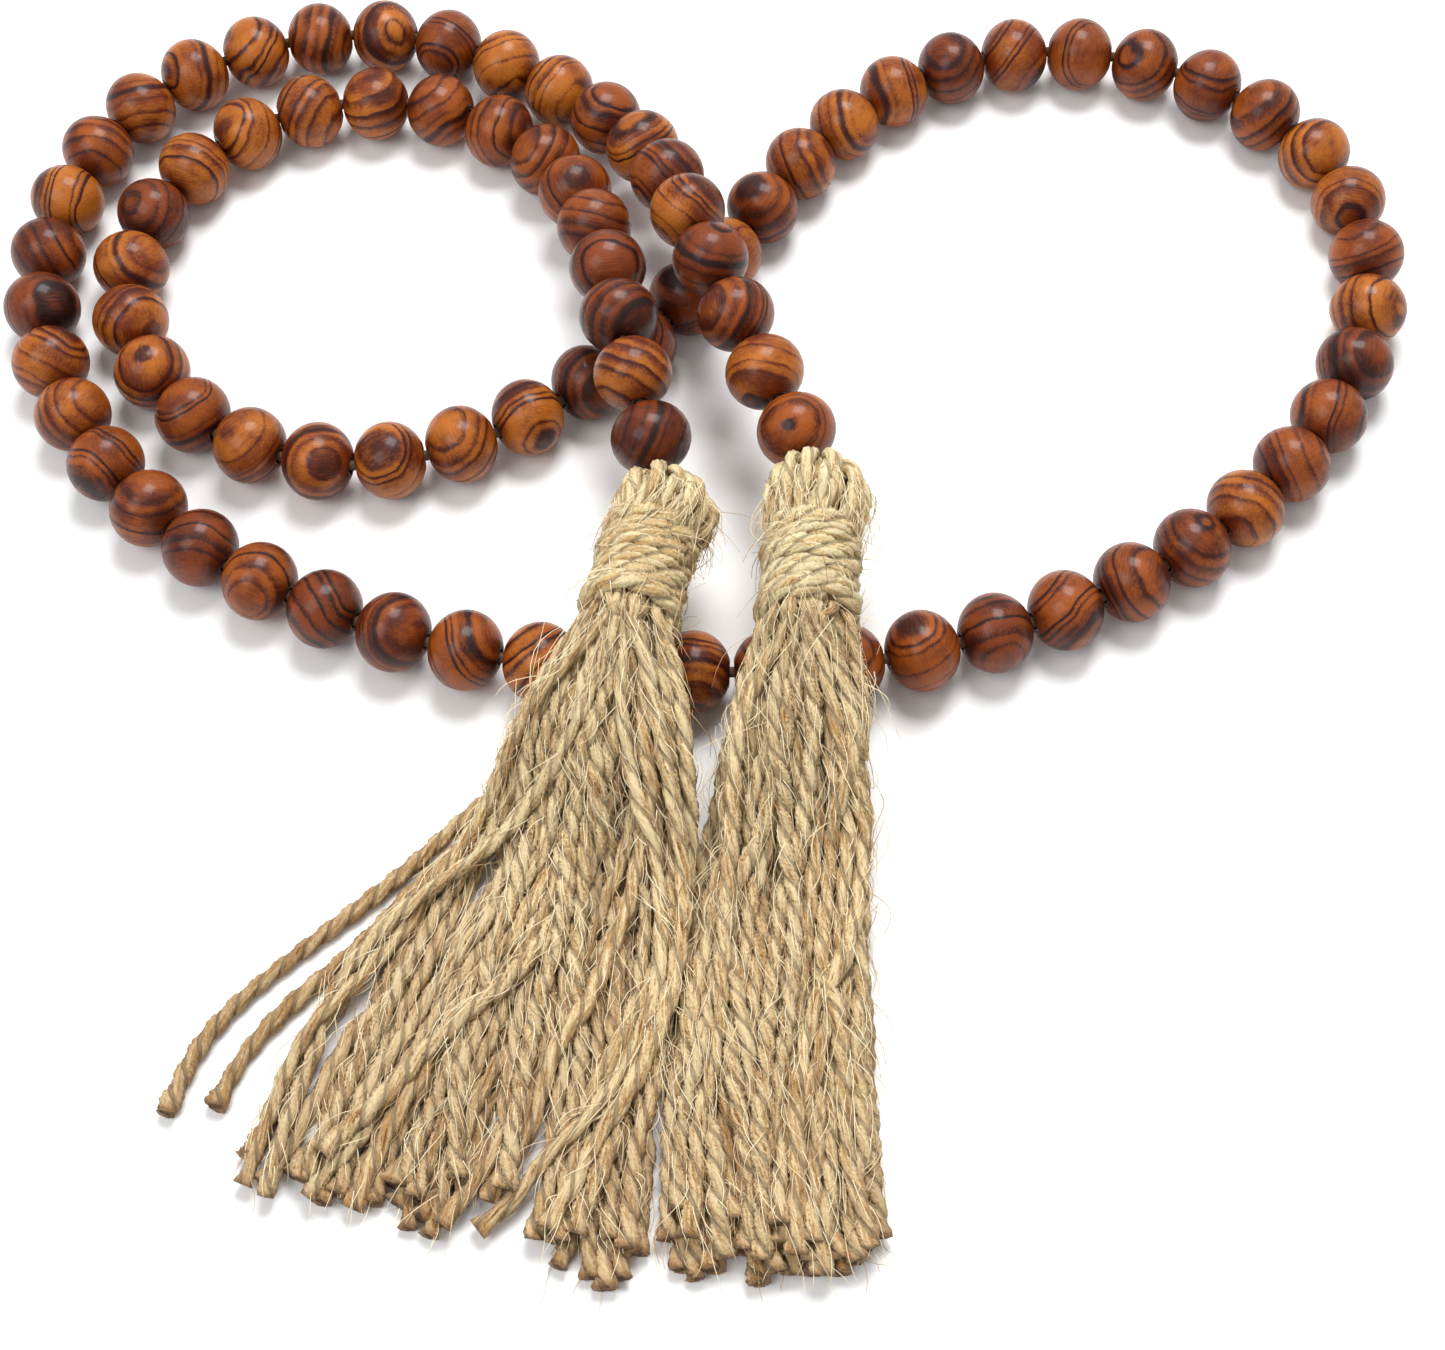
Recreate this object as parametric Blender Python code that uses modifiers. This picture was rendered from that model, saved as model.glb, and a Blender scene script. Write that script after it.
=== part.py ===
"""Strand of turned wooden prayer beads with a jute tassel on each end.

The strand lies in three loops on a flat surface at z = 0. Both of its ends cross over the loops
and hang their tassels side by side over the front run of beads. +Y points away from the tassels.
"""
import math

import bmesh
import bpy
from mathutils import Matrix, Vector

# Beads and the cord that strings them, in metres.
BEAD_COUNT = 84
BEAD_RADIUS = 0.0075
BEAD_LENGTH = 0.0132
BEAD_PITCH = 0.01383
BORE_RADIUS = 0.0015
CORD_RADIUS = 0.001
COLLAR_RADIUS = 0.0022
BEAD_SIDES = 10
BEAD_ARC_STEPS = 4

# The middle of the cord from the left tassel to the right one, as (x, y, z) in millimetres.
ROUTE = [
    (-9, 7, 19.5), (-16, 36, 23), (-21, 65, 17.5), (-33, 93, 8), (-58, 108, 7.5),
    (-88, 105, 7.5), (-110, 84, 7.5), (-114, 55, 7.5), (-98, 29, 7.5), (-69, 18, 7.5),
    (-40, 25, 7.5), (-15, 43, 7.5), (4, 67, 7.5), (21, 92, 7.5), (44, 112, 7.5),
    (74, 119, 7.5), (103, 110, 7.5), (125, 89, 7.5), (131, 60, 7.5), (122, 31, 7.5),
    (103, 7, 7.5), (78, -11, 7.5), (50, -22, 7.5), (20, -28, 7.5), (-11, -28, 7.5),
    (-41, -24, 7.5), (-70, -14, 7.5), (-96, 1, 7.5), (-117, 23, 7.5), (-130, 51, 7.5),
    (-130, 81, 7.5), (-117, 109, 7.5), (-91, 125, 7.5), (-61, 127, 7.5), (-34, 114, 7.5),
    (-13, 92, 12.5), (-3, 64, 23.2), (7, 35, 23), (19, 7, 21),
]
ROUTE_STEPS = 24

# The cord bends at these joints between beads. Joint 0 is the outer face of bead 1.
LEFT_LIFT = 6
LEFT_END = 3
RIGHT_LIFT = 78
RIGHT_END = 81
CORD_END_GAP = 0.0003

# Beads that lie still along the loops are joined in rows, given as first and last bead.
ROWS = [(9, 19), (31, 41), (48, 58), (62, 72)]

# Knot, hanging loop and binding of each tassel, in metres.
KNOT_RADIUS = 0.0022
KNOT_REACH = 0.0028
SOCKET_RADIUS = 0.0028
LOOP_WIDTH = 0.0030
LOOP_LENGTH = 0.0045
LOOP_STEPS = 14
CLEARANCE = 0.0003
BINDING_RADIUS = 0.0067
TWINE_RADIUS = 0.00105
BINDING_TURNS = 8
BINDING_PITCH = 0.0022
BINDING_STEPS = 9
STRAND_RADIUS = 0.002
BALL_SIDES = 12
BALL_RINGS = 8
MERGE_DISTANCE = 0.000001

# Sections of each tassel's strands past the knot, in millimetres: middle x, middle y, half width,
# lowest z, highest z. The head and the bound waist are round; the skirt has a flat underside.
LEFT_SECTIONS = [
    (-9.3, 2.2, 6.4, 13.2, 25.8), (-9.7, -1, 9, 10.8, 28.4), (-10.2, -4.5, 9.8, 10.6, 29.4),
    (-10.6, -7.3, 8.4, 12.4, 28.6), (-10.7, -8.2, 6.2, 14.6, 27), (-14.7, -28, 6.2, 18.5, 30.9),
    (-15.2, -30.5, 9.5, 16, 31.5), (-19, -44.5, 15.5, 15.5, 25.5), (-22, -60, 19.2, 0, 14),
    (-29.5, -79, 24, 0, 10.5), (-40.5, -101, 30, 0, 9), (-47.5, -126, 34.5, 0, 8),
]
RIGHT_SECTIONS = [
    (19, 1.6, 6.4, 14.4, 27.2), (18.7, -1.5, 9, 12, 29.6), (18.4, -5, 9.8, 11.4, 30.2),
    (18.1, -8, 8.4, 13, 29.2), (18, -9, 6.2, 15, 27.4), (16.3, -29, 6.2, 18.7, 31.1),
    (16, -31.5, 9.7, 16, 31.5), (14, -45, 12.2, 15.5, 25.5), (13, -62, 13.2, 0, 15),
    (10.8, -80, 14.2, 0, 11.5), (8, -101, 16.2, 0, 10), (6.6, -133, 16.6, 0, 9),
]
CROWN_RADIUS = 0.0034
ROUND_SECTIONS = 8
RING_POINTS = 11
# A skirt section as shares of its size: the flat sole's width, how high its widest point is, and
# how far its rounded side turns under.
SKIRT_SOLE = 0.72
SKIRT_EDGE = 0.42
SKIRT_UNDERCUT = 0.08
BINDING_SECTIONS = (4, 5)

# Two loose strands at the left tassel's outer edge, as (x, y) in millimetres.
STRAYS = [
    [(-46, -54.5), (-54, -64), (-70, -77), (-83, -88), (-89, -96), (-92, -107)],
    [(-58.5, -75), (-66, -82), (-74, -89), (-81, -97), (-84, -106)],
]

WOOD_TONES = {
    "wood_amber": (0.26, 0.075, 0.012),
    "wood_chestnut": (0.19, 0.05, 0.01),
    "wood_umber": (0.13, 0.032, 0.009),
}


def clear_scene():
    for old in list(bpy.data.objects):
        bpy.data.objects.remove(old, do_unlink=True)


def new_collection(name):
    group = bpy.data.collections.new(name)
    bpy.context.scene.collection.children.link(group)
    return group


def finish(name, colour, roughness):
    material = bpy.data.materials.new(name)
    material.use_nodes = True
    shader = material.node_tree.nodes["Principled BSDF"]
    shader.inputs["Base Color"].default_value = (*colour, 1)
    shader.inputs["Roughness"].default_value = roughness
    shader.inputs["Metallic"].default_value = 0
    return material


clear_scene()
PARTS = new_collection("prayer_bead_strand")
CUTTERS = new_collection("cutters")
WOOD = [finish(name, colour, 0.25) for name, colour in WOOD_TONES.items()]
JUTE = finish("jute", (0.55, 0.42, 0.24), 0.9)
BINDING = finish("binding_twine", (0.6, 0.46, 0.27), 0.9)
CORD = finish("cord", (0.12, 0.07, 0.04), 0.8)


def millimetres(point):
    return Vector(point) / 1000


def smooth_route():
    """Points along a curve that passes smoothly through the route, never below a bead's radius."""
    given = [millimetres(point) for point in ROUTE]
    ends = [2 * given[0] - given[1], *given, 2 * given[-1] - given[-2]]
    points = []
    for a, b, c, d in zip(ends, ends[1:], ends[2:], ends[3:]):
        for step in range(ROUTE_STEPS):
            t = step / ROUTE_STEPS
            line = 2 * b + (c - a) * t
            curve = (2 * a - 5 * b + 4 * c - d) * t**2 + (3 * b - a - 3 * c + d) * t**3
            points.append((line + curve) / 2)
    points.append(given[-1])
    for point in points:
        point.z = max(point.z, BEAD_RADIUS)
    return points


def bead_joints():
    """The points between beads, one bead pitch apart in a straight line, along the route."""
    points = smooth_route()
    joints = [points[0]]
    index = 0
    for _ in range(BEAD_COUNT):
        here = joints[-1]
        while index + 1 < len(points) - 1 and (points[index + 1] - here).length < BEAD_PITCH:
            index += 1
        start, run = points[index], points[index + 1] - points[index]
        back = start - here
        half = run.dot(back) / run.length_squared
        rest = (back.length_squared - BEAD_PITCH**2) / run.length_squared
        joints.append(start + run * (math.sqrt(half**2 - rest) - half))
    return joints


JOINTS = bead_joints()


def add_part(name, mesh, material):
    part = bpy.data.objects.new(name, mesh)
    PARTS.objects.link(part)
    if not mesh.materials:
        mesh.materials.append(material)
    return part


def cut(part, name, mesh):
    """Takes the mesh's shape out of the part with a cutter that isn't shown."""
    cutter = bpy.data.objects.new(name, mesh)
    CUTTERS.objects.link(cutter)
    cutter.hide_render = True
    cutter.display_type = "WIRE"
    boolean = part.modifiers.new(name, "BOOLEAN")
    boolean.operation = "DIFFERENCE"
    boolean.object = cutter
    boolean.solver = "EXACT"


def along(start, end):
    """A turn that lays local Z from start to end, with local X as near to straight down as it can."""
    z = (end - start).normalized()
    down = Vector((0, 0, -1))
    x = (down - z * down.dot(z)).normalized()
    return Matrix((x, z.cross(x), z)).transposed()


def screw(part):
    """Turns a side profile into a body of revolution about the part's own Z."""
    turn = part.modifiers.new("turn", "SCREW")
    turn.angle = 2 * math.pi
    turn.steps = BEAD_SIDES
    turn.render_steps = BEAD_SIDES
    turn.use_merge_vertices = True
    turn.merge_threshold = MERGE_DISTANCE


def profile_mesh(name, points):
    """A closed line through the points, as (x, z), which the screw turns into a body."""
    mesh = bpy.data.meshes.new(name)
    edges = [(i, (i + 1) % len(points)) for i in range(len(points))]
    mesh.from_pydata([(x, 0, z) for x, z in points], edges, [])
    return mesh


def bead_outline(inner_radius):
    """The bead's side from top to bottom: an oval that ends where it meets the inner radius."""
    half = BEAD_LENGTH / 2
    reach = math.acos(inner_radius / BEAD_RADIUS)
    height = half / math.sin(reach)
    outline = []
    for step in range(BEAD_ARC_STEPS + 1):
        angle = reach * (1 - 2 * step / BEAD_ARC_STEPS)
        outline.append((BEAD_RADIUS * math.cos(angle), height * math.sin(angle)))
    return outline


def bead_place(number):
    start, end = JOINTS[number - 1], JOINTS[number]
    return Matrix.Translation((start + end) / 2) @ along(start, end).to_4x4()


def tube_curve(name, points, radius, cyclic=False):
    curve = bpy.data.curves.new(name, "CURVE")
    curve.dimensions = "3D"
    curve.bevel_depth = radius
    curve.bevel_resolution = 2
    curve.use_fill_caps = not cyclic
    spline = curve.splines.new("POLY")
    spline.points.add(len(points) - 1)
    for target, point in zip(spline.points, points):
        target.co = (*point, 1)
    spline.use_cyclic_u = cyclic
    return curve


def tube(name, points, radius, material, cyclic=False):
    part = bpy.data.objects.new(name, tube_curve(name, points, radius, cyclic))
    PARTS.objects.link(part)
    part.data.materials.append(material)
    return part


def ring_mesh(name, points, radius):
    """A closed ring of tube as a mesh, for a cutter."""
    guide = bpy.data.objects.new(name, tube_curve(name, points, radius, cyclic=True))
    CUTTERS.objects.link(guide)
    evaluated = guide.evaluated_get(bpy.context.evaluated_depsgraph_get())
    mesh = bpy.data.meshes.new_from_object(evaluated)
    bpy.data.objects.remove(guide)
    shape = bmesh.new()
    shape.from_mesh(mesh)
    bmesh.ops.remove_doubles(shape, verts=shape.verts, dist=MERGE_DISTANCE)
    bmesh.ops.recalc_face_normals(shape, faces=shape.faces)
    shape.to_mesh(mesh)
    shape.free()
    return mesh


def single_beads():
    """Beads that turn on the cord, each an oval with a straight bore."""
    in_rows = {number for first, last in ROWS for number in range(first, last + 1)}
    outline = bead_outline(BORE_RADIUS)
    meshes = [profile_mesh("bead_" + wood.name, outline) for wood in WOOD]
    for number in range(1, BEAD_COUNT + 1):
        if number in in_rows:
            continue
        tone = number % len(WOOD)
        bead = add_part(f"bead_{number:02d}", meshes[tone], WOOD[tone])
        bead.matrix_world = bead_place(number)
        screw(bead)


def skin(name, rings, material, hollow=False):
    """A closed body over a row of rings; a hollow one runs back along its bore to the first ring."""
    shape = bmesh.new()
    loops = [[shape.verts.new(point) for point in ring] for ring in rings]
    pairs = list(zip(loops, loops[1:]))
    if hollow:
        pairs.append((loops[-1], loops[0]))
    else:
        shape.faces.new(loops[0])
        shape.faces.new(loops[-1])
    for near, far in pairs:
        for i in range(len(near)):
            j = (i + 1) % len(near)
            shape.faces.new((near[i], near[j], far[j], far[i]))
    bmesh.ops.recalc_face_normals(shape, faces=shape.faces)
    mesh = bpy.data.meshes.new(name)
    shape.to_mesh(mesh)
    shape.free()
    return add_part(name, mesh, material)


def circle(centre, turn, radius, rise=0):
    points = []
    for step in range(BEAD_SIDES):
        angle = 2 * math.pi * step / BEAD_SIDES
        spot = Vector((radius * math.cos(angle), radius * math.sin(angle), rise))
        points.append(centre + turn @ spot)
    return points


def bead_row(first, last, material):
    """Neighbouring beads joined by a short collar round the cord, with one bore through all."""
    path = JOINTS[first - 1:last + 1]
    outer = []
    for start, end in zip(path, path[1:]):
        turn = along(start, end)
        for radius, rise in reversed(bead_outline(COLLAR_RADIUS)):
            outer.append(circle((start + end) / 2, turn, radius, rise))
    gap = (BEAD_PITCH - BEAD_LENGTH) / 2
    bore = [circle(path[0], along(path[0], path[1]), BORE_RADIUS, gap)]
    for before, here, after in zip(path, path[1:], path[2:]):
        bore.append(circle(here, along(before, after), BORE_RADIUS))
    bore.append(circle(path[-1], along(path[-2], path[-1]), BORE_RADIUS, -gap))
    skin(f"bead_row_{first:02d}_{last:02d}", outer + bore[::-1], material, hollow=True)


def cord_piece(name, first, last):
    """The cord between two joints, held back a little from both so that it can bend there."""
    points = JOINTS[first:last + 1]
    start = points[0] + (points[1] - points[0]).normalized() * CORD_END_GAP
    end = points[-1] + (points[-2] - points[-1]).normalized() * CORD_END_GAP
    if first == 0:
        start = points[0] - (points[1] - points[0]).normalized() * CORD_END_GAP
    if last == BEAD_COUNT:
        end = points[-1] - (points[-2] - points[-1]).normalized() * CORD_END_GAP
    tube(name, [start, *points[1:-1], end], CORD_RADIUS, CORD)


def stringing_cord():
    cord_piece("cord_left_end", 0, LEFT_END)
    cord_piece("cord_left_lift", LEFT_END, LEFT_LIFT)
    cord_piece("cord_main", LEFT_LIFT, RIGHT_LIFT)
    cord_piece("cord_right_lift", RIGHT_LIFT, RIGHT_END)
    cord_piece("cord_right_end", RIGHT_END, BEAD_COUNT)


def ball_mesh(name, centre, radius):
    shape = bmesh.new()
    place = Matrix.Translation(centre)
    bmesh.ops.create_uvsphere(
        shape, u_segments=BALL_SIDES, v_segments=BALL_RINGS, radius=radius, matrix=place
    )
    mesh = bpy.data.meshes.new(name)
    shape.to_mesh(mesh)
    shape.free()
    return mesh


def skirt_ring(middle, side, half_width, low, high):
    """A rounded outline with a flat underside, across the run of the strands."""
    sole = side * (SKIRT_SOLE * half_width)
    height = high - low
    ring = [middle - sole, middle + sole]
    for step in range(RING_POINTS - 2):
        angle = math.pi * (step / (RING_POINTS - 3) * (1 + 2 * SKIRT_UNDERCUT) - SKIRT_UNDERCUT)
        across = side * (half_width * math.cos(angle))
        rise = height * (SKIRT_EDGE + (1 - SKIRT_EDGE) * math.sin(angle))
        ring.append(middle + across + Vector((0, 0, rise)))
    return ring


def round_ring(middle, side, half_width, low, high):
    """A round outline with the same count of points, for the head and the bound waist."""
    half_height = (high - low) / 2
    ring = []
    for step in range(RING_POINTS):
        angle = 2 * math.pi * (step - 0.5) / RING_POINTS - math.pi / 2
        across = side * (half_width * math.cos(angle))
        ring.append(middle + across + Vector((0, 0, half_height * (1 + math.sin(angle)))))
    return ring


def tassel_strands(name, knot, sections):
    """The folded strands as one soft body: a domed head, a bound waist and a skirt on the ground."""
    stations = [(knot.x, knot.y, CROWN_RADIUS, knot.z - CROWN_RADIUS, knot.z + CROWN_RADIUS)]
    stations += [tuple(value / 1000 for value in section) for section in sections]
    rings = []
    for index, (x, y, half_width, low, high) in enumerate(stations):
        before = stations[max(index - 1, 0)]
        after = stations[min(index + 1, len(stations) - 1)]
        run = Vector((after[0] - before[0], after[1] - before[1], 0)).normalized()
        side = Vector((-run.y, run.x, 0))
        outline = round_ring if index < ROUND_SECTIONS else skirt_ring
        rings.append(outline(Vector((x, y, low)), side, half_width, low, high))
    return skin(name, rings, JUTE)


def loop_points(knot, inward):
    """An upright oval in the head, across the tassel, that the strands are folded over."""
    side = Vector((0, 0, 1)).cross(inward).normalized()
    middle = knot + inward * (KNOT_RADIUS + CLEARANCE + CORD_RADIUS + LOOP_LENGTH)
    points = []
    for step in range(LOOP_STEPS):
        angle = 2 * math.pi * step / LOOP_STEPS
        across = side * (LOOP_WIDTH * math.sin(angle))
        points.append(middle + across - inward * (LOOP_LENGTH * math.cos(angle)))
    return points


def binding_points(start, end):
    """A helix round the waist, one turn of twine beside the next."""
    turn = along(start, end)
    radius = BINDING_RADIUS + TWINE_RADIUS
    points = []
    for step in range(BINDING_TURNS * BINDING_STEPS + 1):
        angle = 2 * math.pi * step / BINDING_STEPS
        rise = BINDING_PITCH * step / BINDING_STEPS + TWINE_RADIUS + CLEARANCE
        spot = Vector((radius * math.cos(angle), radius * math.sin(angle), rise))
        points.append(start + turn @ spot)
    return points


def tassel(side_name, end_joint, next_joint, sections):
    outward = (end_joint - next_joint).normalized()
    knot = end_joint + outward * KNOT_REACH
    add_part(side_name + "_knot", ball_mesh(side_name + "_knot", knot, KNOT_RADIUS), CORD)

    head = millimetres((*sections[1][:2], (sections[1][3] + sections[1][4]) / 2))
    inward = (head - knot).normalized()
    strands = tassel_strands(side_name + "_tassel_strands", knot, sections)
    socket = side_name + "_socket"
    cut(strands, socket, ball_mesh(socket, knot, SOCKET_RADIUS))
    oval = loop_points(knot, inward)
    tunnel = side_name + "_tunnel"
    cut(strands, tunnel, ring_mesh(tunnel, oval, CORD_RADIUS + CLEARANCE))
    tube(side_name + "_hanging_loop", oval, CORD_RADIUS, CORD, cyclic=True)

    waist = []
    for index in BINDING_SECTIONS:
        x, y, _, low, high = sections[index]
        waist.append(millimetres((x, y, (low + high) / 2)))
    tube(side_name + "_binding", binding_points(*waist), TWINE_RADIUS, BINDING)


def stray_strands():
    for number, track in enumerate(STRAYS, 1):
        points = [millimetres((x, y, 0)) + Vector((0, 0, STRAND_RADIUS)) for x, y in track]
        tube(f"left_stray_strand_{number}", points, STRAND_RADIUS, JUTE)


single_beads()
for row_number, (first_bead, last_bead) in enumerate(ROWS):
    bead_row(first_bead, last_bead, WOOD[row_number % len(WOOD)])
stringing_cord()
tassel("left", JOINTS[0], JOINTS[1], LEFT_SECTIONS)
tassel("right", JOINTS[-1], JOINTS[-2], RIGHT_SECTIONS)
stray_strands()
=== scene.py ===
"""Looks of a strand of turned wooden prayer beads with a jute tassel on each end."""
import math
import random

import bmesh
import bpy
import numpy as np
from mathutils import Matrix, Quaternion, Vector


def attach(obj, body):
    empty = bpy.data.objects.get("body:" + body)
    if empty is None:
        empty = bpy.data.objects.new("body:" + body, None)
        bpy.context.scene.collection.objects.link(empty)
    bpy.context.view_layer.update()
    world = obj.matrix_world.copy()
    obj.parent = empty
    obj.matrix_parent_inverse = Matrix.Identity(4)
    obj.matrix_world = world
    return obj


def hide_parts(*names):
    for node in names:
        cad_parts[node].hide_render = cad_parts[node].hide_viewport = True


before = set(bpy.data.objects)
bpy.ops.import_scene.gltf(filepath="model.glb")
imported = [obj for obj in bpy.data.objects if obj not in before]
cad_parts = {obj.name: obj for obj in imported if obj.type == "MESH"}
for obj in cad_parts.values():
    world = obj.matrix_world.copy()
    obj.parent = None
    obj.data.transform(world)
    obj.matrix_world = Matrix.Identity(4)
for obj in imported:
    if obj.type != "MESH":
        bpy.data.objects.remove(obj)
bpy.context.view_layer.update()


# Camera: it looks down at the laid strand from in front of the tassels, with a slight tilt of
# the horizon.
camera_place = (0.0015, -0.241, 0.3825)
degrees_down = 60.538
degrees_of_tilt = -1.2228
camera = bpy.data.objects.new("camera", bpy.data.cameras.new("camera"))
bpy.context.scene.collection.objects.link(camera)
bpy.context.scene.camera = camera
camera.data.sensor_width = 36
camera.data.lens = 59.92
camera.data.clip_start = 0.01
down = Matrix.Rotation(math.radians(90 - degrees_down), 4, "X")
tilt = Matrix.Rotation(math.radians(degrees_of_tilt), 4, "Z")
camera.matrix_world = Matrix.Translation(camera_place) @ down @ tilt


# Stringing cord: one length of dark waxed cord, 2 mm thick, pulled tight through all the beads
# and knotted at both ends. It is laid as five lengths that meet where the strand bends.
route = [
    (-0.009, 0.007, 0.0195), (-0.016, 0.036, 0.023), (-0.021, 0.065, 0.0175),
    (-0.033, 0.093, 0.008), (-0.058, 0.108, 0.0075), (-0.088, 0.105, 0.0075),
    (-0.11, 0.084, 0.0075), (-0.114, 0.055, 0.0075), (-0.098, 0.029, 0.0075),
    (-0.069, 0.018, 0.0075), (-0.04, 0.025, 0.0075), (-0.015, 0.043, 0.0075),
    (0.004, 0.067, 0.0075), (0.021, 0.092, 0.0075), (0.044, 0.112, 0.0075),
    (0.074, 0.119, 0.0075), (0.103, 0.11, 0.0075), (0.125, 0.089, 0.0075), (0.131, 0.06, 0.0075),
    (0.122, 0.031, 0.0075), (0.103, 0.007, 0.0075), (0.078, -0.011, 0.0075),
    (0.05, -0.022, 0.0075), (0.02, -0.028, 0.0075), (-0.011, -0.028, 0.0075),
    (-0.041, -0.024, 0.0075), (-0.07, -0.014, 0.0075), (-0.096, 0.001, 0.0075),
    (-0.117, 0.023, 0.0075), (-0.13, 0.051, 0.0075), (-0.13, 0.081, 0.0075),
    (-0.117, 0.109, 0.0075), (-0.091, 0.125, 0.0075), (-0.061, 0.127, 0.0075),
    (-0.034, 0.114, 0.0075), (-0.013, 0.092, 0.0125), (-0.003, 0.064, 0.0232),
    (0.007, 0.035, 0.023), (0.019, 0.007, 0.021),
]
bead_count = 84
bead_pitch = 0.01383
bead_radius = 0.0075
cord_radius = 0.001
cord_end_gap = 0.0003


def smooth(points, steps):
    """Points on a curve that passes smoothly through the given ones."""
    given = np.array(points, float)
    ends = np.vstack([2 * given[0] - given[1], given, 2 * given[-1] - given[-2]])
    t = (np.arange(steps) / steps)[:, None]
    runs = []
    for a, b, c, d in zip(ends, ends[1:], ends[2:], ends[3:]):
        line = 2 * b + (c - a) * t
        curve = (2 * a - 5 * b + 4 * c - d) * t**2 + (3 * b - a - 3 * c + d) * t**3
        runs.append((line + curve) / 2)
    return np.vstack([*runs, given[-1:]])


def bead_joints():
    """The points between beads, one bead pitch apart in a straight line, along the route."""
    points = smooth(route, 24)
    points[:, 2] = np.maximum(points[:, 2], bead_radius)
    joints = [points[0]]
    index = 0
    for _ in range(bead_count):
        here = joints[-1]
        while index + 2 < len(points) and np.linalg.norm(points[index + 1] - here) < bead_pitch:
            index += 1
        start, run = points[index], points[index + 1] - points[index]
        back = start - here
        half = run @ back / (run @ run)
        rest = (back @ back - bead_pitch**2) / (run @ run)
        joints.append(start + run * (math.sqrt(half**2 - rest) - half))
    return [Vector(joint) for joint in joints]


class Flow:
    """A socket in a material's nodes. An expression on flows adds its Math nodes."""

    def __init__(self, tree, socket=None):
        self.tree = tree
        self.socket = socket

    def node(self, kind, settings, inputs, output=0):
        """A node of this kind: its settings first, then the values or links of its sockets."""
        made = self.tree.nodes.new(kind)
        for name, value in settings.items():
            if name == "stops":
                elements = made.color_ramp.elements
                while len(elements) < len(value):
                    elements.new(1)
                for element, (place, colour) in zip(elements, value):
                    element.position = place
                    element.color = (*colour, 1)
            else:
                setattr(made, name, value)
        for name, value in inputs.items():
            if isinstance(value, Flow):
                self.tree.links.new(value.socket, made.inputs[name])
            else:
                made.inputs[name].default_value = value
        return Flow(self.tree, made.outputs[output])

    def math(self, operation, *values):
        return self.node("ShaderNodeMath", {"operation": operation}, dict(enumerate(values)))

    def __add__(self, other):
        return self.math("ADD", self, other)

    __radd__ = __add__

    def __sub__(self, other):
        return self.math("SUBTRACT", self, other)

    def __rsub__(self, other):
        return self.math("SUBTRACT", other, self)

    def __mul__(self, other):
        return self.math("MULTIPLY", self, other)

    __rmul__ = __mul__

    def clamp(self, low, high):
        """Runs from 0 to 1 as this value goes from low to high."""
        settings = {"interpolation_type": "SMOOTHSTEP"}
        return self.node("ShaderNodeMapRange", settings, {0: self, 1: low, 2: high})

    def mix(self, low, high):
        """The colour low where this value is 0, and high where it is 1."""
        settings = {"data_type": "RGBA"}
        return self.node("ShaderNodeMix", settings, {0: self, 6: low, 7: high}, output=2)


def surface(name, constants):
    """A material, its Principled shader and a start for its flows."""
    material = bpy.data.materials.new(name)
    material.use_nodes = True
    shader = material.node_tree.nodes["Principled BSDF"]
    for socket, value in constants.items():
        shader.inputs[socket].default_value = value
    return material, shader, Flow(material.node_tree)


def feed(shader, socket, flow):
    """Links a flow to one of the shader's sockets."""
    flow.tree.links.new(flow.socket, shader.inputs[socket])


def show(name, data, material):
    """A finished piece, with its place in its own points."""
    piece = bpy.data.objects.new(name, data)
    bpy.context.scene.collection.objects.link(piece)
    data.materials.append(material)
    return piece


joints = bead_joints()
cord_material, shader, start = surface("waxed_cord", {"Roughness": 0.85})
place = start.node("ShaderNodeTexCoord", {}, {}, output=3)
fibre = start.node("ShaderNodeTexNoise", {}, {"Vector": place, "Scale": 1400, "Detail": 3})
cord_colour = fibre.clamp(0.3, 0.7).mix((0.07, 0.035, 0.02, 1), (0.16, 0.09, 0.05, 1))
feed(shader, "Base Color", cord_colour)
feed(shader, "Normal", start.node("ShaderNodeBump", {}, {
    "Height": fibre, "Strength": 0.6, "Distance": 0.0002}))
for node, first, last, body in (
    ("cord_left_end", 0, 3, "left_end"), ("cord_left_lift", 3, 6, "left_lift"),
    ("cord_main", 6, 78, "strand"), ("cord_right_lift", 78, 81, "right_lift"),
    ("cord_right_end", 81, 84, "right_end"),
):
    points = [point.copy() for point in joints[first:last + 1]]
    gap = cord_end_gap if first else -cord_end_gap
    points[0] += (points[1] - points[0]).normalized() * gap
    gap = -cord_end_gap if last == bead_count else cord_end_gap
    points[-1] += (points[-2] - points[-1]).normalized() * gap
    curve = bpy.data.curves.new("stringing_" + node, "CURVE")
    curve.dimensions = "3D"
    curve.bevel_depth = cord_radius
    curve.bevel_resolution = 2
    curve.use_fill_caps = True
    line = curve.splines.new("POLY")
    line.points.add(len(points) - 1)
    for target, point in zip(line.points, points):
        target.co = (*point, 1)
    cord = show("stringing_" + node, curve, cord_material)
    length = sum((b - a).length for a, b in zip(points, points[1:]))
    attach(cord, body)
    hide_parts(node)


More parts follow.
